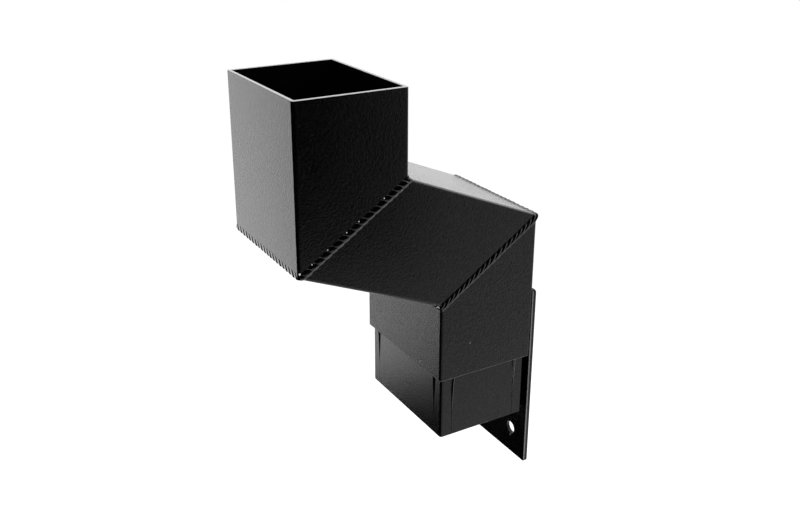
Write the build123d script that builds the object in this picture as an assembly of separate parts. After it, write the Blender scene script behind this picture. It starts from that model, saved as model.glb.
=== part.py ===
from build123d import *
import math
import os

# A rectangular aluminium rainwater pipe offset: three lengths of tube cut at a mitre and
# welded into a swan neck, a slit sleeve in the lower end that the next pipe slides over,
# and a flat plate on the back that is screwed to the wall.
#
# All sizes are millimetres. +Z is up, +Y points into the wall and +X runs along the wall.
# The origin lies on the back of the wall plate, midway between its two screw holes.

# The tube, one section for all three lengths
tube_width = 100.0
tube_depth = 75.0
tube_wall = 2.5
tube_corner = 2.0
tube_inner_corner = 0.5

# The coat rounds every sawn edge by this much
edge_round = 0.4

# The swan neck, measured along the tube's centre line
bend_angle = 67.5
projection = 100.0
inlet_length = 81.5
outlet_length = 81.0

# The weld run round each mitre
bead_half_width = 2.7
bead_height = 1.5

# The sleeve in the lower end
sleeve_clearance = 0.3
sleeve_wall = 2.5
sleeve_seated = 45.0
sleeve_exposed = 46.0
slit_from_corner = 9.0
slit_mouth_front = 4.2
slit_mouth_side = 3.2
slit_root = 8.0
slit_run = 27.0
slit_closed = 0.3

# The plate against the wall
plate_thickness = 3.0
plate_length = 139.0
plate_overlap = 50.0
plate_corner = 2.0
hole_diameter = 9.0
hole_from_side = 18.0
hole_from_foot = 20.0

# Heights and distances that follow from those
plate_top = plate_length - hole_from_foot
outlet_end = plate_top - plate_overlap
sleeve_top = outlet_end + sleeve_seated
sleeve_end = outlet_end - sleeve_exposed
slit_top = outlet_end + slit_root
slit_point = outlet_end - slit_run
bend = math.radians(bend_angle)
neck_drop = projection / math.tan(bend)
outlet_y = -plate_thickness - tube_depth / 2
inlet_y = outlet_y - projection

# The corners of the centre line, from the open top down to the outlet's square end
inlet_mouth = Vector(0, inlet_y, outlet_end + outlet_length + neck_drop + inlet_length)
upper_mitre = Vector(0, inlet_y, outlet_end + outlet_length + neck_drop)
lower_mitre = Vector(0, outlet_y, outlet_end + outlet_length)
outlet_mouth = Vector(0, outlet_y, outlet_end)

down = Vector(0, 0, -1)
slope = (lower_mitre - upper_mitre).normalized()


def plane_across(point, direction):
    """The plane through a point of the centre line, facing along a direction."""
    return Plane(origin=point, x_dir=Vector(1, 0, 0), z_dir=direction)


# Each mitre plane halves the turn, so both tube ends meet in the same outline
mitre_facing = (down + slope).normalized()
mouth_plane = plane_across(inlet_mouth, down)
upper_plane = plane_across(upper_mitre, mitre_facing)
lower_plane = plane_across(lower_mitre, mitre_facing)
outlet_plane = plane_across(outlet_mouth, down)


def outer_section():
    """The tube's outside: a rectangle with small round corners."""
    return RectangleRounded(tube_width, tube_depth, tube_corner)


def tube_section():
    """The tube's wall between its outside and its bore."""
    bore = RectangleRounded(
        tube_width - 2 * tube_wall, tube_depth - 2 * tube_wall, tube_inner_corner
    )
    return outer_section() - bore


def length_between(profile, start, end, first_cut, last_cut):
    """Run a profile along the centre line and saw both ends off at their planes."""
    run = end - start
    direction = run.normalized()
    spare = tube_depth
    stock_start = plane_across(start - direction * spare, direction)
    stock = extrude(stock_start * profile, run.length + 2 * spare)
    sawn_once = split(stock, bisect_by=first_cut, keep=Keep.TOP)
    return split(sawn_once, bisect_by=last_cut, keep=Keep.BOTTOM)


def three_lengths(profile):
    """The inlet, middle and outlet lengths of the swan neck in one profile."""
    return (
        length_between(profile, inlet_mouth, upper_mitre, mouth_plane, upper_plane),
        length_between(profile, upper_mitre, lower_mitre, upper_plane, lower_plane),
        length_between(profile, lower_mitre, outlet_mouth, lower_plane, outlet_plane),
    )


def rounded_at(piece, height):
    """Round all the edges of a piece that lie at one height."""
    edges = piece.edges().filter_by_position(Axis.Z, height, height)
    return fillet(edges, edge_round)


inlet_tube, middle_tube, outlet_tube = three_lengths(tube_section())
inlet_block, middle_block, outlet_block = three_lengths(outer_section())
inlet_tube = rounded_at(inlet_tube, inlet_mouth.Z)
outlet_tube = rounded_at(outlet_tube, outlet_end)


def weld_bead(block_before, block_after, mitre_plane):
    """A low crowned bead that runs round the outside of one mitre."""
    seam = section(block_after, section_by=mitre_plane).faces()[0].outer_wire()
    bead_plane = Plane(origin=seam @ 0, x_dir=mitre_facing, z_dir=seam % 0)
    rod = sweep(bead_plane * Ellipse(bead_half_width, bead_height), path=seam)
    return rod - block_before - block_after


upper_weld_bead = weld_bead(inlet_block, middle_block, upper_plane)
lower_weld_bead = weld_bead(middle_block, outlet_block, lower_plane)


def slit_cutter(across, half_span, mouth):
    """A pair of slits through two facing sides of the sleeve.

    Each slit starts a little way up inside the outlet, is widest where the sleeve comes out
    of it, closes to a hairline at the slit point and runs on to the sleeve's free end, as a
    sawn slit does when the free end is squeezed. across is the plane that the slits are
    drawn on, half_span is from the sleeve's middle to its corner along that plane, and mouth
    is the slit's widest opening.
    """
    half_mouth = mouth / 2
    half_closed = slit_closed / 2
    below = sleeve_end - mouth
    right_side = [
        (half_mouth, slit_top),
        (half_mouth, outlet_end),
        (half_closed, slit_point),
        (half_closed, below),
    ]
    left_side = [(-x, height) for x, height in reversed(right_side)]
    slit = make_face(Polyline(right_side + left_side, close=True))
    place = half_span - slit_from_corner
    pair = Pos(-place, 0) * slit + Pos(place, 0) * slit
    return extrude(across * pair, tube_width, both=True)


sleeve_width = tube_width - 2 * (tube_wall + sleeve_clearance)
sleeve_depth = tube_depth - 2 * (tube_wall + sleeve_clearance)


def spigot_sleeve():
    """A box sleeve, whole at its top and slit beside each corner down to its free end."""
    outside = RectangleRounded(sleeve_width, sleeve_depth, tube_corner)
    inside = RectangleRounded(
        sleeve_width - 2 * sleeve_wall, sleeve_depth - 2 * sleeve_wall, tube_inner_corner
    )
    foot = Plane(origin=(0, outlet_y, sleeve_end))
    sleeve = extrude(foot * (outside - inside), sleeve_top - sleeve_end)
    sleeve = rounded_at(sleeve, sleeve_end)
    front = Plane(origin=(0, outlet_y, 0), x_dir=(1, 0, 0), z_dir=(0, -1, 0))
    side = Plane(origin=(0, outlet_y, 0), x_dir=(0, 1, 0), z_dir=(1, 0, 0))
    sleeve -= slit_cutter(front, sleeve_width / 2, slit_mouth_front)
    sleeve -= slit_cutter(side, sleeve_depth / 2, slit_mouth_side)
    return sleeve


def wall_plate():
    """The flat plate behind the outlet, with a screw hole near each lower corner."""
    back = Plane(origin=(0, 0, 0), x_dir=(1, 0, 0), z_dir=(0, -1, 0))
    middle_height = plate_top - plate_length / 2
    blank = Pos(0, middle_height) * RectangleRounded(tube_width, plate_length, plate_corner)
    hole_place = tube_width / 2 - hole_from_side
    for side in (-1, 1):
        blank -= Pos(side * hole_place, 0) * Circle(hole_diameter / 2)
    plate = extrude(back * blank, plate_thickness)
    front_and_back = plate.edges().filter_by(GeomType.LINE).filter_by(Axis.Y, reverse=True)
    rims = plate.edges().filter_by(GeomType.CIRCLE)
    return fillet(front_and_back + rims, edge_round)


pieces = {
    "inlet_tube": inlet_tube,
    "middle_tube": middle_tube,
    "outlet_tube": outlet_tube,
    "spigot_sleeve": spigot_sleeve(),
    "wall_plate": wall_plate(),
    "upper_weld_bead": upper_weld_bead,
    "lower_weld_bead": lower_weld_bead,
}

os.makedirs("parts", exist_ok=True)
for name, piece in pieces.items():
    export_step(piece, f"parts/{name}.step")
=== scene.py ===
# %% [markdown]
# A downpipe offset is the swan neck that carries rain water from the gutter, out at the edge of the
# roof, back to the pipe on the wall. This one is three lengths of rectangular aluminium tube, sawn on
# the mitre and welded, with a squeezed sleeve under it and a screw plate behind.
# The tubes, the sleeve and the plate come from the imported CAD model, which is the fixed frame here.
# This lesson adds what the CAD leaves out: the scaled welds, the powder coat, the light, the camera.

import bpy
import numpy as np
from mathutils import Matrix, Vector


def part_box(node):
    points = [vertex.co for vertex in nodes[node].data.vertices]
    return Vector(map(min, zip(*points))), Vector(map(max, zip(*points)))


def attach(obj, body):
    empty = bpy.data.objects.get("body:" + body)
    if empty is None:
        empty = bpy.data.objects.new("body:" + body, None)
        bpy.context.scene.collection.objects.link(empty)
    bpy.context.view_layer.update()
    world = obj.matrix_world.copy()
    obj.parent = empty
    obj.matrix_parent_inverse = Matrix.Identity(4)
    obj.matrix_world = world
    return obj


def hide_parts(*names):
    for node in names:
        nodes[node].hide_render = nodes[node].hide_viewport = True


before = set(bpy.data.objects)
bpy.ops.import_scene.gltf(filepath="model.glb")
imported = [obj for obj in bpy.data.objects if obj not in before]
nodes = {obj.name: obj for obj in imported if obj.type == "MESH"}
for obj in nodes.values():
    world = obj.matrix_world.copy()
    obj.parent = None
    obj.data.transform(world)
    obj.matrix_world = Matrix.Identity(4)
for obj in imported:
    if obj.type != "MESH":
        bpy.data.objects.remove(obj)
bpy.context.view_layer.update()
print("CAD pieces:", ", ".join(sorted(nodes)))

# %% [markdown]
# Everything is in metres and in the frame of the CAD: the wall is the plane y = 0, z points up, and the
# origin lies on the wall between the two screws. The places of the two welds are read off the CAD
# boxes, so the lesson needs only the turn of each bend and the corner radius of the tube.

# %% Sizes in metres
MM = 0.001
mitre_angle = np.radians(67.5 / 2)
tube_corner = 2 * MM
inlet_low, inlet_high = (np.array(corner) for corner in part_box("inlet_tube"))
outlet_low, outlet_high = (np.array(corner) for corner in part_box("outlet_tube"))
half_width = (inlet_high[0] - inlet_low[0]) / 2
half_depth = (inlet_high[1] - inlet_low[1]) / 2
mitre_rise = half_depth * np.tan(mitre_angle)
upper_centre = np.array([0, (inlet_low[1] + inlet_high[1]) / 2, inlet_low[2] + mitre_rise])
lower_centre = np.array([0, (outlet_low[1] + outlet_high[1]) / 2, outlet_high[2] - mitre_rise])
along_mitre = np.array([0, np.sin(mitre_angle), -np.cos(mitre_angle)])
in_mitre = np.array([0, np.cos(mitre_angle), np.sin(mitre_angle)])
print("upper mitre at", upper_centre.round(4), "and lower mitre at", lower_centre.round(4))

# %% [markdown]
# A surface here is always a grid of points worked out by numpy. One helper turns a grid into a mesh:
# it joins neighbouring points into four-sided faces, and closes the grid on itself in either direction.
# A closed skin needs its faces to point outwards, and the sign of its volume says whether they do.

# %% Grid to mesh
def skin(name, grid, around=False, along=False):
    """Each face joins grid points (i, j), (i + 1, j), (i + 1, j + 1) and (i, j + 1), and a closed
    direction wraps. Volume x 6 = sum over the faces of corner dot (corner cross corner)."""
    rows, columns = grid.shape[:2]
    number = np.arange(rows * columns).reshape(rows, columns)
    if along:
        number = np.concatenate([number, number[:1]])
    if around:
        number = np.concatenate([number, number[:, :1]], axis=1)
    faces = np.stack([number[:-1, :-1], number[1:, :-1], number[1:, 1:], number[:-1, 1:]], axis=-1)
    faces, points = faces.reshape(-1, 4), grid.reshape(-1, 3)
    corner = points[faces]
    volume = np.einsum("ij,ij->i", corner[:, 0], np.cross(corner[:, 1], corner[:, 2])).sum()
    volume += np.einsum("ij,ij->i", corner[:, 0], np.cross(corner[:, 2], corner[:, 3])).sum()
    if around and along and volume < 0:
        faces = faces[:, ::-1]
    mesh = bpy.data.meshes.new(name)
    mesh.from_pydata(points.tolist(), [], faces.tolist())
    mesh.polygons.foreach_set("use_smooth", np.full(len(faces), True))
    piece = bpy.data.objects.new(name, mesh)
    bpy.context.scene.collection.objects.link(piece)
    print(f"{name}: {len(faces)} faces")
    return piece


# %% [markdown]
# The joints are TIG welds. The welder walks round the mitre and dips the rod about every 5 mm, and
# each dip freezes as a scale that overlaps the last one, like a row of tipped coins. The bead could be
# a bump texture on a plain roll, but its scales break the outline of the pipe where the seam turns
# over an edge, so here they are real shape: a ring with a crowned section that runs round the seam.

# %% The path of a weld
def seam_path(samples):
    """The tube's outline, a rectangle with quarter-circle corners, stretched one over cosine of the
    mitre angle towards the mitre's long side, then sampled at even steps of its length."""
    turn = np.linspace(0, np.pi / 2, 9)
    angle = np.concatenate([turn + quarter * np.pi / 2 for quarter in range(4)])
    centre_x = (half_width - tube_corner) * np.repeat([1, -1, -1, 1], len(turn))
    centre_y = (half_depth - tube_corner) * np.repeat([1, 1, -1, -1], len(turn))
    across = centre_x + tube_corner * np.cos(angle)
    towards = (centre_y + tube_corner * np.sin(angle)) / np.cos(mitre_angle)
    across, towards = np.append(across, across[0]), np.append(towards, towards[0])
    angle = np.append(angle, 2 * np.pi)
    length = np.concatenate([[0], np.cumsum(np.hypot(np.diff(across), np.diff(towards)))])
    place = np.linspace(0, length[-1], samples, endpoint=False)
    normal = np.interp(place, length, angle)
    outward = np.stack([np.cos(normal), np.sin(normal) * np.cos(mitre_angle)], axis=-1)
    outward /= np.linalg.norm(outward, axis=-1, keepdims=True)
    return place, length[-1], np.interp(place, length, across), np.interp(place, length, towards), outward


seam_samples = 1900
print("one weld is", round(seam_path(seam_samples)[1] / MM), "mm round")

# %% [markdown]
# Each dip of the rod leaves one scale. Its rim isn't square to the seam: the puddle trails behind the
# torch, so the rim bows and leans, and the two welds of this piece lean by different amounts.

# %% The scales of a weld
scale_pitch = 4.85 * MM
pitch_chance, size_chance = 0.16, 0.10
# The height of a scale along its slow rise and down its drop, each taken as 1 long
rise_along, rise_height = [0, 0.17, 0.52, 0.87, 1], [0, 0.30, 0.70, 0.95, 1]
drop_along, drop_height = [0, 0.5, 1], [0, 0.55, 1]
print("one scale is about", round(scale_pitch / MM, 2), "mm long")


def weld_scales(place, length, beside, seed, lean, bow, drop):
    """How high each place is on its scale, from 0 to 1: a scale rises slowly along the seam and drops
    off over the last share of its length. Shift along the seam = (lean x beside + bow x beside squared)
    x pitch. The length and the size of each scale are left to chance."""
    count = round(length / scale_pitch)
    chance = np.random.default_rng(seed)
    steps = 1 + chance.uniform(-pitch_chance, pitch_chance, count)
    edge_highlights = np.concatenate([[0], np.cumsum(steps)]) * length / steps.sum()
    shifted = (place + (lean * beside + bow * beside ** 2) * scale_pitch) % length
    phase = np.interp(shifted, edge_highlights, np.arange(count + 1))
    part = phase % 1
    size = 1 + size_chance * np.take(chance.uniform(-1, 1, count), phase.astype(int) % count)
    rise = np.interp(part / (1 - drop), rise_along, rise_height)
    fall = np.interp((1 - part) / drop, drop_along, drop_height)
    return rise * fall, size, count


# %% [markdown]
# The section of the bead is written as two numbers: how far a point lies beside the seam, and how far
# it stands off the tubes. On the long outer side of the bend the tubes fall away from the mitre, on the
# inner side they rise, and on the two flat cheeks they are level, so the foot of the bead follows them.
# The bead is built up along the outer side and round the corners, and wiped flatter on the inner side.
# Its lower toe catches the light of the floor, and a toe with an even slope shows a broader line.

# %% The section of a weld
bead_half_width = 2.85 * MM
bead_crown = 0.98 * MM
bead_root = 0.8 * MM
ridge_softness = 0.6 * MM
section_side = [-1.0, -0.9, -0.7, -0.5, -0.3, -0.1, 0.1, 0.22, 0.32, 0.42, 0.55, 0.70, 0.85, 1.0]
steep_toe = [0.0, 0.14, 0.37, 0.56, 0.71, 0.84, 0.94, 0.985, 1.0, 0.97, 0.87, 0.68, 0.44, 0.18]
sloped_toe = [0.0, 0.14, 0.37, 0.56, 0.71, 0.84, 0.94, 0.98, 0.98, 0.92, 0.79, 0.61, 0.43, 0.25]
section_points, toe_gap = 25, 0.015
root_side = np.array([0.75, 0, -0.75])
# Shares of the crown: the bead on the inner side, what a corner adds, and the tallest scale
inner_crown, corner_crown, tallest_scale = 0.85, 0.5, 1.04
# Shares of the bead's height that are missing between two scales, on the inner side and on a cheek
inner_dip, cheek_dip = 0.34, 0.42
# Shares of the half width: the bead itself, what a dip takes off it, and how far its toes wander
full_width, dip_narrowing, wander, wanders = 0.97, 0.35, 0.05, 9
# On the outer side of the bend each scale drops off over this much more of its length
outer_drop = 0.15
print("a bead is", round(2 * bead_half_width / MM, 1), "mm wide and", round(bead_crown / MM, 2), "mm high")

# %% [markdown]
# The section is carried round the seam as whole arrays, with a row for each place on the seam and a
# column for each point of the section. A sweep along a curve could do it too, but arrays let every
# place have its own height, width and lean. Three more columns run inside the tube wall and close the
# ring. Both welds come from one recipe: the lower one leans more and stands higher on its outer side.

# %% Sweep the section round the seam
def weld_bead(name, centre, outer_side, section, seed, lean, bow, drop, edge_crown, edge_dip, sag):
    """Foot = seam + beside times the mitre's normal - |beside| times tangent of the mitre angle towards
    the outer side; surface = foot + outward times crown times the section's rise times what the dip
    between two scales leaves. Edge is 1 on the outer side of the bend, cheek 1 on the flat cheeks and
    corner 1 half-way round a corner, and each fades to 0 elsewhere. Sag lowers the bead on the cheeks."""
    place, length, across, towards, outward = seam_path(seam_samples)
    seam = centre + across[:, None] * np.array([1, 0, 0]) + towards[:, None] * in_mitre
    normal = outward[:, :1] * np.array([1, 0, 0]) + outward[:, 1:] * in_mitre
    cheek = outward[:, :1] ** 2
    edge = np.clip(outer_side * outward[:, 1:], 0, 1) ** 2
    corner = 4 * cheek * (1 - cheek)

    inner_points = np.linspace(toe_gap - 1, 1 - toe_gap, section_points)
    top = np.broadcast_to(np.concatenate([[-1], inner_points, [1]]), (seam_samples, section_points + 2))
    height, size, count = weld_scales(place[:, None], length, top, seed, lean, bow, drop + outer_drop * edge)
    dip = inner_dip + (cheek_dip - inner_dip) * cheek + (edge_dip - inner_dip) * edge
    dip = dip * (1 - height)
    drift = wander * np.sin(2 * np.pi * place[:, None] / length * wanders + seed)
    beside = bead_half_width * top * (full_width - dip_narrowing * dip + drift * np.abs(top)) + sag * cheek
    share = inner_crown + (1 - inner_crown) * cheek + (edge_crown - inner_crown) * edge
    rise = np.interp(top, section_side, section) * (share + corner_crown * corner)
    stand = bead_crown * rise * (1 - dip) * np.minimum(size, tallest_scale)

    slack = np.hypot(bead_half_width, ridge_softness) - bead_half_width
    lift = np.hypot(beside, ridge_softness) - slack
    foot = seam[:, None] + beside[..., None] * along_mitre - (
        lift * np.tan(mitre_angle))[..., None] * (outer_side * in_mitre)
    surface = foot + stand[..., None] * normal[:, None]
    under = bead_half_width * root_side
    back = seam[:, None] + under[:, None] * along_mitre - (
        np.abs(under) * np.tan(mitre_angle))[:, None] * (outer_side * in_mitre) - bead_root * normal[:, None]
    piece = skin(name, np.concatenate([surface, back], axis=1), around=True, along=True)
    print(f"{name}: {count} scales")
    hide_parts(name.replace("rippled", "weld_bead"))
    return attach(piece, "root")


upper_weld = weld_bead(
    "upper_rippled", upper_centre, -1, steep_toe,
    seed=3, lean=-0.12, bow=0.50, drop=0.15, edge_crown=1.15, edge_dip=0.48, sag=0.38 * MM)
lower_weld = weld_bead(
    "lower_rippled", lower_centre, 1, sloped_toe,
    seed=8, lean=0.75, bow=0.10, drop=0.36, edge_crown=1.60, edge_dip=0.50, sag=1.0 * MM)

# %% [markdown]
# Filler also spits. One bright drop sits on the pipe's corner just over the upper weld, and smaller ones
# lie along the upper toe of that weld on the right cheek. A ball would do, but its poles squeeze the
# faces of a grid to nothing, so each drop is a ring so tight that its hole has all but closed.

# %% Drops of filler
hole_share, drop_points = 1.05, 12
on_the_corner, corner_drop_size = (0.0506, -0.1775, 0.1701), 0.34 * MM
shares_of_the_cheek, toe_drop_size = [0.13, 0.27, 0.44, 0.55, 0.78], 0.2 * MM
toe_share, above_the_cheek = 0.72, 0.45 * MM


def filler_drop(name, place, size):
    """A ring with its axis across the cheek: reach = size x (1.05 + cosine), height = size x sine."""
    turn = np.linspace(0, 2 * np.pi, drop_points, endpoint=False)
    ring, section_turn = np.meshgrid(turn, turn, indexing="ij")
    reach = size * (hole_share + np.cos(section_turn))
    grid = np.stack([size * np.sin(section_turn), reach * np.cos(ring), reach * np.sin(ring)], axis=-1)
    drop = skin(name, np.array(place) + grid, around=True, along=True)
    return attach(drop, "root")


drops = [filler_drop("corner_drop", on_the_corner, corner_drop_size)]
for number, share in enumerate(shares_of_the_cheek):
    towards = (2 * share - 1) * half_depth / np.cos(mitre_angle)
    toe = upper_centre + towards * in_mitre - toe_share * bead_half_width * along_mitre
    toe = toe + [half_width + above_the_cheek, 0, 0]
    drops.append(filler_drop(f"toe_drop_{number + 1}", toe, toe_drop_size))

# %% [markdown]
# A material is a small program made of nodes. The class below lets the program be written as a
# formula: it holds one socket, and adding, subtracting or multiplying two of them adds a Math node.

# %% Formulas made of nodes
class Wire:
    """A socket that can stand in a formula; node() adds any other node and gives back its output."""

    def __init__(self, tree, socket=None):
        self.tree, self.socket = tree, socket

    def node(self, kind, settings=None, inputs=None, out=0):
        """Settings come first, then the value or the wire of each input socket."""
        made = self.tree.nodes.new(kind)
        for key, value in (settings or {}).items():
            setattr(made, key, value)
        for key, value in (inputs or {}).items():
            if isinstance(value, Wire):
                self.tree.links.new(value.socket, made.inputs[key])
            else:
                made.inputs[key].default_value = value
        return Wire(self.tree, made.outputs[out] if made.outputs else None)

    def maths(self, operation, first, second=0.0):
        """One Math node: the operation on the first and the second value."""
        return self.node("ShaderNodeMath", {"operation": operation}, {0: first, 1: second})

    def __add__(self, other): return self.maths("ADD", self, other)
    def __radd__(self, other): return self.maths("ADD", other, self)
    def __sub__(self, other): return self.maths("SUBTRACT", self, other)
    def __rsub__(self, other): return self.maths("SUBTRACT", other, self)
    def __mul__(self, other): return self.maths("MULTIPLY", self, other)
    def __rmul__(self, other): return self.maths("MULTIPLY", other, self)
    def __abs__(self): return self.maths("ABSOLUTE", self)

    def within(self, low, high):
        """0 at low, 1 at high, and a straight line between them."""
        return self.node("ShaderNodeMapRange", {}, {"Value": self, "From Min": low, "From Max": high})

    def part(self, axis):
        """One coordinate of a vector."""
        return self.node("ShaderNodeSeparateXYZ", {}, {"Vector": self}, out=axis)

    def larger(self, other):
        """The larger of the two."""
        return self.maths("MAXIMUM", self, other)

    def mixed(self, first, second):
        """First x (1 - self) + second x self: sockets 6 and 7 of the Mix node take the two colours."""
        return self.node(
            "ShaderNodeMix", {"data_type": "RGBA"}, {"Factor": self, 6: first, 7: second}, out=2)


def fresh(name):
    """An empty material and a first wire in it that carries the place on the object, in metres."""
    material = bpy.data.materials.new(name)
    material.use_nodes = True
    material.node_tree.nodes.clear()
    start = Wire(material.node_tree)
    return material, start, start.node("ShaderNodeTexCoord", out="Object")


def grey(level):
    """A colour whose red, green and blue are all the level."""
    return (level, level, level, 1)


def noise(start, place, size, detail=2.0, roughness=0.5):
    """Noise with lumps about as wide as size, in metres."""
    return start.node("ShaderNodeTexNoise", {"noise_dimensions": "3D"}, {
        "Vector": place, "Scale": 1 / size, "Detail": detail, "Roughness": roughness})


# %% [markdown]
# The pale lines along the inlet's sawn rim, the outlet's lower end, the plate's front edges and the slits'
# lips are painted highlights, laid into the colour where those edges catch the light. The pale spots are
# the coat rubbed where the piece was handled, except the one under the plate's screw hole, which is a
# painted highlight. All are masks: formulas that are 1 on the spot and 0 away from it.

# %% Handling marks, and painted highlights along edges and slit lips
slit_run, slit_half_mouth, slit_from_corner = 27 * MM, 1.6 * MM, 9 * MM
sleeve_low, sleeve_high = (np.array(corner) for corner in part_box("spigot_sleeve"))
sleeve_half_width = sleeve_high[0]
# The share of a mark's radius or of a highlight's width that is at full strength, and where a lip's
# highlight fades
mark_core, edge_core, lip_fade = 0.35, 0.3, 0.15
print("the sleeve is", round(2 * sleeve_half_width / MM, 1), "mm wide")


def scuff_and_highlight_spot(start, place, spot, radius):
    """1 at the spot, fading to 0 at the radius. It draws rubbed marks and the painted highlight under the
    plate's hole.
    """
    distance = start.node(
        "ShaderNodeVectorMath", {"operation": "DISTANCE"}, {0: place, 1: spot}, out="Value")
    return distance.within(radius, radius * mark_core)


def edge_highlight_mask(start, place, edge, width):
    """A painted highlight: 1 where every coordinate that the edge names is at its level, fading to 0 within
    the width.
    """
    near = start.maths("ADD", 1.0)
    for axis, level in edge.items():
        near = near * abs(place.part(axis) - level).within(width, width * edge_core)
    return near


def slit_lip_highlight(start, place, middle, width):
    """A painted highlight: 1 along the outer arris of a side slit's rear lip, which lies behind the slit's
    middle by half the mouth at the outlet's end and closes in a straight line to nothing at the slit's
    point."""
    outer = abs(abs(place.part("X")) - sleeve_half_width)
    opening = place.part("Z").within(outlet_low[2] - slit_run, outlet_low[2])
    beside = place.part("Y") - middle - opening * slit_half_mouth
    near = abs(beside).within(width, width * edge_core) * outer.within(width, width * edge_core)
    return near * opening.within(0, lip_fade)


# %% [markdown]
# The finish is polyester powder, sprayed dry and baked. It melts into a skin that is never quite flat:
# close to, it has a sand-like grain of about half a millimetre, softer pebbles of a little over one, and
# wide patches where the coat is thicker. Black powder is almost without colour of its own, so what shows
# is how it mirrors the lamps. The grain breaks each reflection up in two ways: a bump turns it, and a
# clear skin of resin, the coat of the shader, is stronger on the high grains than between them.

# %% The powder coat
fine_size, pebble_size, patch_size, speck_size = 0.55 * MM, 1.3 * MM, 19 * MM, 1.1 * MM
fine_bump, pebble_bump = 0.65, 1.1
darkest_powder, palest_powder = 0.2, 2.6
speck_level, speck_strength = (0.80, 0.86), 0.10
# The pale edge grey is a painted highlight along edges and lips; the rubbed grey paints worn specks,
# handling marks and a highlight spot
rubbed_and_highlight_grey, edge_highlight_grey = (0.40, 0.395, 0.39, 1), grey(0.86)


def powder_coat(name, powder, gloss_roughness, grain, mirror, resin, marks_and_highlights=(), edge_highlights=(), lip_highlights=()):
    """Colour = powder x 0.2 to 2.6 by four parts fine noise and one part patches, mixed with the rubbed tone
    at worn specks and marks, one mark being a painted highlight, and with a pale grey painted as highlight
    along the edges and lips. Roughness = gloss roughness + 0.20 x (fine - half) + 0.05 x (patch - half) +
    0.1 x the wear and highlight mask. Bump height = fine x 0.65 + pebble x 1.1, at the grain's depth.
    Resin = the coat's weight on the highest grains, mirror = the strength of the powder's own shine."""
    material, start, place = fresh(name)
    fine = noise(start, place, fine_size, detail=3.0, roughness=0.6)
    pebble = noise(start, place, pebble_size, detail=1.0)
    patch = noise(start, place, patch_size)
    wear_and_highlight = noise(start, place, speck_size, detail=0.0).within(*speck_level) * speck_strength
    # Worn specks and rubbed marks, and the painted highlight spot under the plate's hole
    for spot, radius in marks_and_highlights:
        wear_and_highlight = wear_and_highlight.larger(scuff_and_highlight_spot(start, place, spot, radius))
    wear_and_highlight = wear_and_highlight * fine.within(0.35, 0.6)
    # Painted highlight: a pale colour along the given edges and slit lips
    edge_highlight = start.maths("ADD", 0.0)
    for edge, width, strength in edge_highlights:
        edge_highlight = edge_highlight.larger(edge_highlight_mask(start, place, edge, width) * strength)
    for middle, width, strength in lip_highlights:
        edge_highlight = edge_highlight.larger(slit_lip_highlight(start, place, middle, width) * strength)
    edge_highlight = edge_highlight * fine.within(0.2, 0.5)

    speckled = (patch * 0.2 + fine * 0.8).within(0.38, 0.62).mixed(
        grey(powder * darkest_powder), grey(powder * palest_powder))
    colour = edge_highlight.mixed((wear_and_highlight * 0.8).mixed(speckled, rubbed_and_highlight_grey), edge_highlight_grey)
    gloss = gloss_roughness + (fine - 0.5) * 0.20 + (patch - 0.5) * 0.05 + wear_and_highlight * 0.1
    bump = start.node("ShaderNodeBump", {}, {
        "Strength": 1.0, "Distance": grain, "Height": fine * fine_bump + pebble * pebble_bump})
    shader = start.node("ShaderNodeBsdfPrincipled", {}, {
        "Base Color": colour, "Roughness": gloss, "Normal": bump, "Specular IOR Level": mirror,
        "Coat Weight": (fine * 0.5 + pebble * 0.5).within(0.36, 0.64) * resin,
        "Coat Roughness": gloss_roughness})
    start.node("ShaderNodeOutputMaterial", {}, {"Surface": shader})
    print(f"{name}: {len(material.node_tree.nodes)} nodes")
    return material


# %% [markdown]
# The same recipe coats every piece, with a little more or less grain. A pale colour along the inlet's sawn
# rim is a painted highlight, and weaker painted highlights run along the outlet's lower end, the plate's
# front edges and the slits' lips.

# %% Coat the pieces
marks_on_outlet = [((0.0242, -0.078, 0.0728), 1.3 * MM), ((-0.0354, -0.078, 0.0809), 1.0 * MM),
                   ((0.05, -0.0546, 0.0924), 0.9 * MM)]
plate_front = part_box("wall_plate")[0][1]
# A painted highlight: a pale spot on the lower rim of the plate's screw hole, where it catches the light
plate_hole_highlight = [((0.0327, plate_front, -0.0060), 1.2 * MM)]
# Painted highlights: pale lines along the inlet's rim and the outlet's lower end
sawn_end_highlights = [({"Z": inlet_high[2]}, 0.3 * MM, 0.84), ({"Z": outlet_low[2]}, 0.6 * MM, 0.3)]
# Painted highlights along the plate's two front edges
plate_edge_highlights = [({"X": side * half_width, "Y": plate_front}, 0.8 * MM, 0.6) for side in (-1, 1)]
slit_middles = (sleeve_low[1] + slit_from_corner, sleeve_high[1] - slit_from_corner)
# Painted highlights along the rear lips of the side slits
lip_highlights = [(middle, 0.5 * MM, 0.25) for middle in slit_middles]

tube_black = powder_coat(
    "tube_powder_coat", powder=0.0016, gloss_roughness=0.16, grain=0.10 * MM, mirror=0.16, resin=0.22,
    edge_highlights=sawn_end_highlights)
outlet_black = powder_coat(
    "outlet_powder_coat", powder=0.0016, gloss_roughness=0.16, grain=0.22 * MM, mirror=0.16, resin=0.22,
    marks_and_highlights=marks_on_outlet, edge_highlights=sawn_end_highlights)
sleeve_black = powder_coat(
    "sleeve_powder_coat", powder=0.0016, gloss_roughness=0.18, grain=0.10 * MM, mirror=0.17, resin=0.22,
    lip_highlights=lip_highlights)
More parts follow.
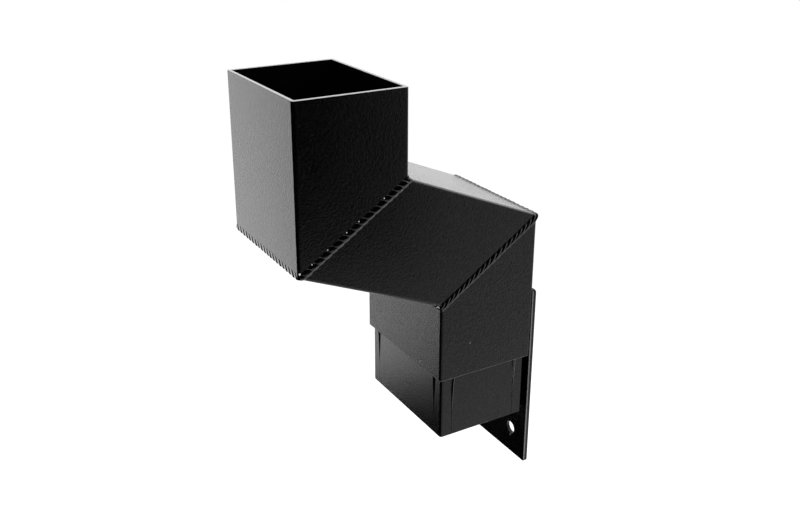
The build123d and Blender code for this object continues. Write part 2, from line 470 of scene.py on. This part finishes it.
# The plate's powder is set a little darker than the tubes' powder as painted shade
plate_black_painted_shade = powder_coat(
    "plate_powder_coat", powder=0.0012, gloss_roughness=0.17, grain=0.08 * MM, mirror=0.17, resin=0.16,
    marks_and_highlights=plate_hole_highlight, edge_highlights=plate_edge_highlights)
weld_black = powder_coat(
    "weld_powder_coat", powder=0.0010, gloss_roughness=0.16, grain=0.02 * MM, mirror=0.35, resin=0.4)

finish = {"inlet_tube": tube_black, "middle_tube": tube_black, "outlet_tube": outlet_black,
          "spigot_sleeve": sleeve_black, "wall_plate": plate_black_painted_shade}
for node, coat in finish.items():
    for slot in nodes[node].material_slots:
        slot.material = coat
for weld in (upper_weld, lower_weld):
    weld.data.materials.append(weld_black)

# %% [markdown]
# The drops glint like bare metal while everything round them is black. Bare aluminium takes its look
# from what it mirrors, so it needs a bright grey, full metal and a little roughness from a noise, and
# no pattern of its own.

# %% Bare metal for the drops
bare_metal, start, place = fresh("bare_spatter")
shine = start.node("ShaderNodeBsdfPrincipled", {}, {
    "Base Color": grey(0.9), "Metallic": 1.0,
    "Roughness": noise(start, place, 0.5 * MM).within(0, 1) * 0.2 + 0.2})
start.node("ShaderNodeOutputMaterial", {}, {"Surface": shine})
for drop in drops:
    drop.data.materials.append(bare_metal)
print("drops of bare metal:", len(drops))

# %% [markdown]
# The studio is a pale floor well under the hung part and a white world. Both are white to the camera and
# bright in reflections, and give the part only a soft even light. The floor is far enough down that the
# part's shadow falls outside the photograph's frame.

# %% Floor
def seen_directly(start):
    """1 for rays that the camera, a reflection or a clear material sends out, 0 for the light's own."""
    path = start.tree.nodes.new("ShaderNodeLightPath")
    camera_ray, mirrored_ray, clear_ray = (
        Wire(start.tree, path.outputs[f"Is {kind} Ray"]) for kind in ("Camera", "Glossy", "Transmission"))
    return (camera_ray + mirrored_ray + clear_ray).within(0, 1)


floor_height, floor_reach, floor_glow = -0.65, 9, 0.70
reach = np.linspace(-floor_reach, floor_reach, 5)
floor_grid = np.stack(np.meshgrid(reach, reach, indexing="ij") + [np.full((5, 5), floor_height)], axis=-1)
floor = skin("studio_floor", floor_grid)
pale, start, place = fresh("pale_floor")
shade = noise(start, place, 0.4).mixed(grey(0.86), grey(0.9))
matt = start.node("ShaderNodeBsdfDiffuse", {}, {"Color": shade})
glow = start.node("ShaderNodeEmission", {}, {"Color": grey(1), "Strength": floor_glow})
lit = start.node("ShaderNodeAddShader", {}, {0: matt, 1: glow})
blend = start.node("ShaderNodeMixShader", {}, {0: seen_directly(start), 1: matt, 2: lit})
start.node("ShaderNodeOutputMaterial", {}, {"Surface": blend})
floor.data.materials.append(pale)
print("floor at", floor_height, "m")

# %% [markdown]
# The world is the white paper that closes the studio on all sides. A real sheet would do, but a plain
# background has no seam and no end, and the same switch keeps it white to the eye and dim as a lamp.

# %% World
air_light, air_white = 0.35, 1.0
world = bpy.data.worlds.new("studio_air")
bpy.context.scene.world = world
world.use_nodes = True
world.node_tree.nodes.clear()
air = Wire(world.node_tree)
dim = air.node("ShaderNodeBackground", {}, {"Color": grey(1), "Strength": air_light})
white = air.node("ShaderNodeBackground", {}, {"Color": grey(1), "Strength": air_white})
sky = air.node("ShaderNodeMixShader", {}, {0: seen_directly(air), 1: dim, 2: white})
air.node("ShaderNodeOutputWorld", {}, {"Surface": sky})
print("the world lights the part with", air_light, "and shows as", air_white)

# %% [markdown]
# Black things are lit by what they mirror. A softbox low on the left makes the long grey sheen on the
# front faces, one high behind lights the sloping tube, and one overhead picks out the edges and the
# sawn rim. The one behind on the left is only a weak fill. A lamp adds its light to whatever stands
# behind it, so a dark card runs on behind the left softbox and keeps the sheen at the lamp's own level.

# %% Softboxes
def softbox(name, place, aim, width, height, brightness):
    """A flat lamp whose face has the same brightness whatever its size: watts = brightness x area x pi."""
    lamp = bpy.data.lights.new(name, "AREA")
    lamp.shape, lamp.size, lamp.size_y = "RECTANGLE", width, height
    lamp.energy = brightness * width * height * np.pi
    box = bpy.data.objects.new(name, lamp)
    box.location = place
    box.rotation_euler = (Vector(aim) - Vector(place)).to_track_quat("-Z", "Y").to_euler()
    box.visible_camera = False
    bpy.context.scene.collection.objects.link(box)
    print(f"{name}: {lamp.energy:.2f} watts")
    return box


softbox("back_left_softbox", (-0.95, 0.50, 0.20), (0, -0.1, 0.20), 0.85, 0.75, 0.2)
softbox("left_softbox", (-0.881, -0.456, -0.035), (0, -0.1, 0.13), 0.50, 0.89, 2.2)
softbox("back_softbox", (0.0, 1.00, 0.78), (0, -0.1, 0.20), 1.2, 0.55, 3.5)
softbox("overhead_softbox", (0.10, 0.15, 1.35), (0, -0.08, 0.15), 1.0, 1.0, 1.7)

# %% [markdown]
# Dark cards stand behind the camera and low in front, as in any studio, so the faces that look that way
# stay black. The cards show only in reflections: the camera doesn't see them and they cast no shadow.

# %% Dark cards
card_black, start, place = fresh("card_felt")
felt = start.node("ShaderNodeBsdfDiffuse", {}, {"Color": grey(0.004)})
start.node("ShaderNodeOutputMaterial", {}, {"Surface": felt})


def curved_card(name, first, last, profile):
    """Each point of the profile, a radius and a height, is turned about the upright axis from the
    first to the last angle, in degrees from x."""
    angle = np.radians(np.linspace(first, last, 40))[:, None]
    radius, height = np.array(profile).T[:, None, :]
    grid = np.stack([radius * np.cos(angle), radius * np.sin(angle), height + 0 * angle], axis=-1)
    card = skin(name, grid)
    card.visible_camera = card.visible_diffuse = card.visible_transmission = card.visible_shadow = False
    card.data.materials.append(card_black)
    return card


curved_card("front_card", 172, 325, [(0.30, -0.62), (1.25, -0.62), (1.35, 1.3)])
curved_card("camera_card", 325, 386.5, [(1.25, -0.40), (1.3, 1.3)])

# %% [markdown]
# The camera stands where the photographer stood. Its place, turn and lens were solved outside this
# lesson from the corners of the pipe in the photograph, with a small shift of the frame.

# %% Camera
camera_data = bpy.data.cameras.new("photo_camera")
camera_data.sensor_width, camera_data.lens = 36, 42.391
camera_data.shift_x, camera_data.shift_y = 0.0102, -0.0602
camera = bpy.data.objects.new("photo_camera", camera_data)
camera.location = (0.51344, -0.38106, 0.39271)
camera.rotation_euler = np.radians([69.561, 0.061, 60.127])
bpy.context.scene.collection.objects.link(camera)
bpy.context.scene.camera = camera
bpy.context.scene.view_settings.view_transform = "Standard"
print("camera", round((camera.location - Vector((0, -0.1, 0.13))).length, 2), "m from the pipe")
